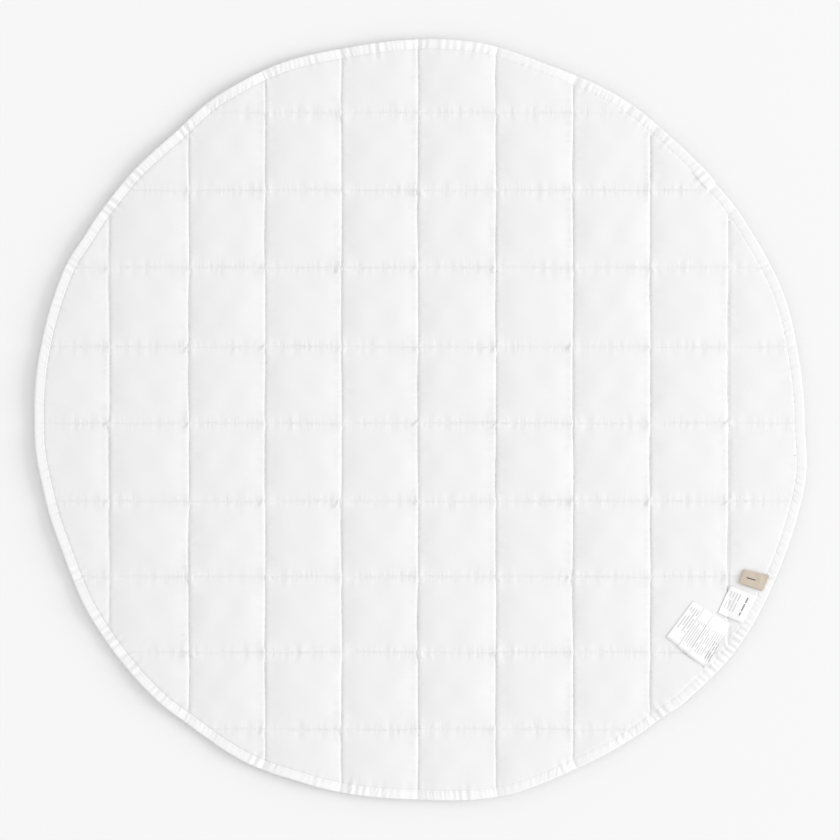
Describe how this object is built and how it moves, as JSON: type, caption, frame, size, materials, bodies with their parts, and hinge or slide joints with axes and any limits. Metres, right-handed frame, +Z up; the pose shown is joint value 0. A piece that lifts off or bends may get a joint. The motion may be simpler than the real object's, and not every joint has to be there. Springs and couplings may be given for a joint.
{
  "type": "baby play mat",
  "caption": "Round padded baby play mat with square quilting, gathered tape binding and small sewn-in labels, lying flat.",
  "frame": {"origin": "on the surface the mat lies on, under the middle of its width and depth", "axes": "+Z up off the floor, +X towards the side with the labels, +Y to the far side as seen from above"},
  "size_m": [1.001, 0.9868, 0.0161],
  "materials": {
    "face_cloth": "off-white woven cotton over wadding",
    "binding_tape": "off-white cotton bias tape",
    "label_cloth": "white printed satin label",
    "tan_tape": "tan woven tape"
  },
  "bodies": {
    "root": {"quilted_pad": "face_cloth", "edge_binding": "binding_tape", "care_label": "label_cloth", "size_label": "label_cloth", "fold_tab": "tan_tape"}
  },
  "joints": []
}
